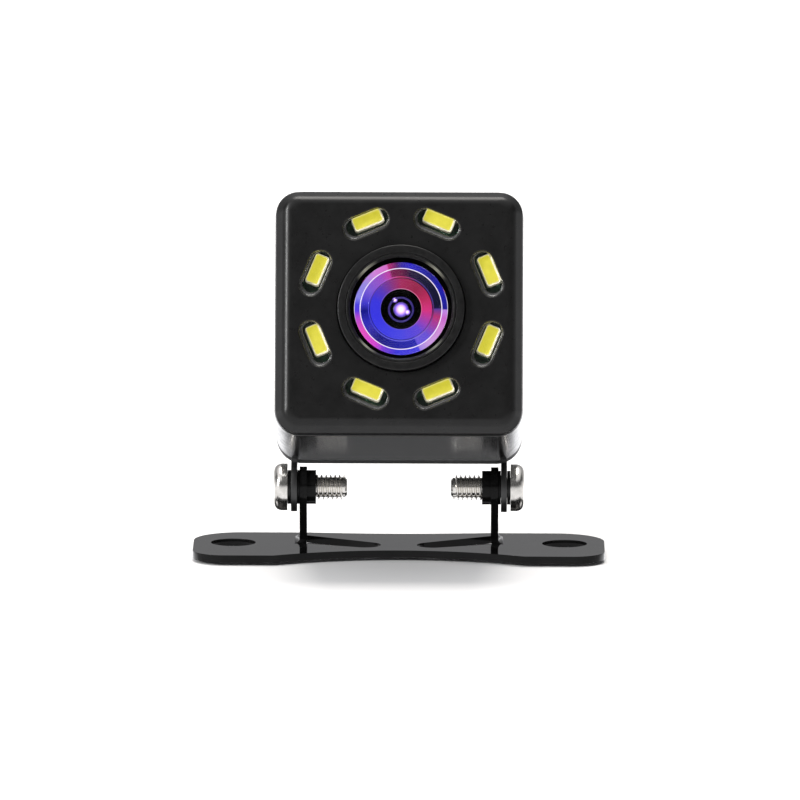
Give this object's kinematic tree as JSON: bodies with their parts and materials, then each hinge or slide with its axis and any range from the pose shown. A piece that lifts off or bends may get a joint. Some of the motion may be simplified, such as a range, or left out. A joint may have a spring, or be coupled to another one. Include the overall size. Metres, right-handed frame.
{
  "type": "backup camera",
  "caption": "Square reversing camera with a wide-angle lens ringed by LEDs, tilting between two pivot screws on a bow-tie sheet-metal bracket with two bolt holes.",
  "frame": {"origin": "on the face that lies against the vehicle, midway between the arms and straight below the pivot axis", "axes": "+X along the bracket, +Z away from the mounting surface, the camera looks along -Y and up"},
  "size_m": [0.0412, 0.029, 0.0378],
  "materials": {
    "bracket_paint": "high-gloss black paint on bent steel sheet",
    "nickel_steel": "bright nickel plate on steel",
    "black_steel": "black oxide, semi-gloss",
    "black_nylon": "black nylon",
    "cover_black": "satin black moulding, very fine grain",
    "shell_black": "gloss black moulding",
    "rear_black": "gloss black paint on die-cast alloy",
    "gland_rubber": "soft black rubber, satin",
    "seal_rubber": "black rubber",
    "zinc_steel": "zinc-plated steel",
    "window_clear": "clear polycarbonate, polished",
    "led_package": "white frame round yellow phosphor",
    "board_green": "green solder mask over glass fibre",
    "chip_black": "black epoxy",
    "sensor_glass": "dark die under a cover glass",
    "barrel_black": "black anodised, semi-gloss",
    "lens_glass": "coated optical glass with violet and blue reflections",
    "filter_glass": "infrared cut coating, red and cyan by angle",
    "lens_black": "black, blackened against stray light",
    "brass_pillar": "turned brass",
    "capacitor_can": "bright aluminium can",
    "inductor_ferrite": "grey ferrite",
    "connector_white": "natural nylon"
  },
  "bodies": {
    "bracket": {"bracket": "bracket_paint", "friction_washer_left": "black_nylon", "friction_washer_right": "black_nylon"},
    "camera": {"front_cover": "cover_black", "body_shell": "shell_black", "rear_cover": "rear_black", "front_gasket": "seal_rubber", "rear_gasket": "seal_rubber", "case_screws": "zinc_steel", "cable_gland": "gland_rubber", "led_board": "board_green", "led_resistor_1": "chip_black", "led_resistor_2": "chip_black", "board_spacers": "brass_pillar", "lens_barrel": "barrel_black", "lens_seal": "seal_rubber", "retaining_ring": "barrel_black", "front_lens": "lens_glass", "second_lens": "lens_glass", "third_lens": "lens_glass", "rear_lens": "lens_glass", "aperture_ring": "lens_black", "lens_spacer": "lens_black", "lens_holder": "chip_black", "holder_screws": "zinc_steel", "ir_filter": "filter_glass", "sensor_board": "board_green", "power_board": "board_green", "image_sensor": "sensor_glass", "signal_processor": "chip_black", "clock_crystal": "capacitor_can", "board_header": "chip_black", "voltage_regulator": "chip_black", "power_inductor": "inductor_ferrite", "cable_socket": "connector_white", "filter_capacitor": "capacitor_can", "led_1": "led_package", "led_window_1": "window_clear", "led_2": "led_package", "led_window_2": "window_clear", "led_3": "led_package", "led_window_3": "window_clear", "led_4": "led_package", "led_window_4": "window_clear", "led_5": "led_package", "led_window_5": "window_clear", "led_6": "led_package", "led_window_6": "window_clear", "led_7": "led_package", "led_window_7": "window_clear", "led_8": "led_package", "led_window_8": "window_clear"},
    "washer_left": {"spring_washer_left": "black_steel"},
    "screw_left": {"pivot_screw_left": "nickel_steel"},
    "washer_right": {"spring_washer_right": "black_steel"},
    "screw_right": {"pivot_screw_right": "nickel_steel"}
  },
  "joints": [
    {"name": "camera_tilt", "type": "hinge", "parent": "bracket", "child": "camera", "pos_m": [0, 0, 0.0066], "axis": [-1, 0, 0], "range_deg": [-42.5, 50]},
    {"name": "screw_left_travel", "type": "slide", "parent": "bracket", "child": "washer_left", "axis": [-1, 0, 0], "range_m": [0, 0.0045]},
    {"name": "screw_left_turn", "type": "hinge", "parent": "washer_left", "child": "screw_left", "pos_m": [-0.0112, 0, 0.0066], "axis": [-1, 0, 0], "range_deg": [0, 3620]},
    {"name": "screw_right_travel", "type": "slide", "parent": "bracket", "child": "washer_right", "axis": [1, 0, 0], "range_m": [0, 0.0045]},
    {"name": "screw_right_turn", "type": "hinge", "parent": "washer_right", "child": "screw_right", "pos_m": [0.0112, 0, 0.0066], "axis": [1, 0, 0], "range_deg": [0, 3620]}
  ],
  "couplings": [
    {"joint": "screw_left_turn", "follows": "screw_left_travel", "rad_per_m": 13963},
    {"joint": "screw_right_turn", "follows": "screw_right_travel", "rad_per_m": 13963}
  ]
}
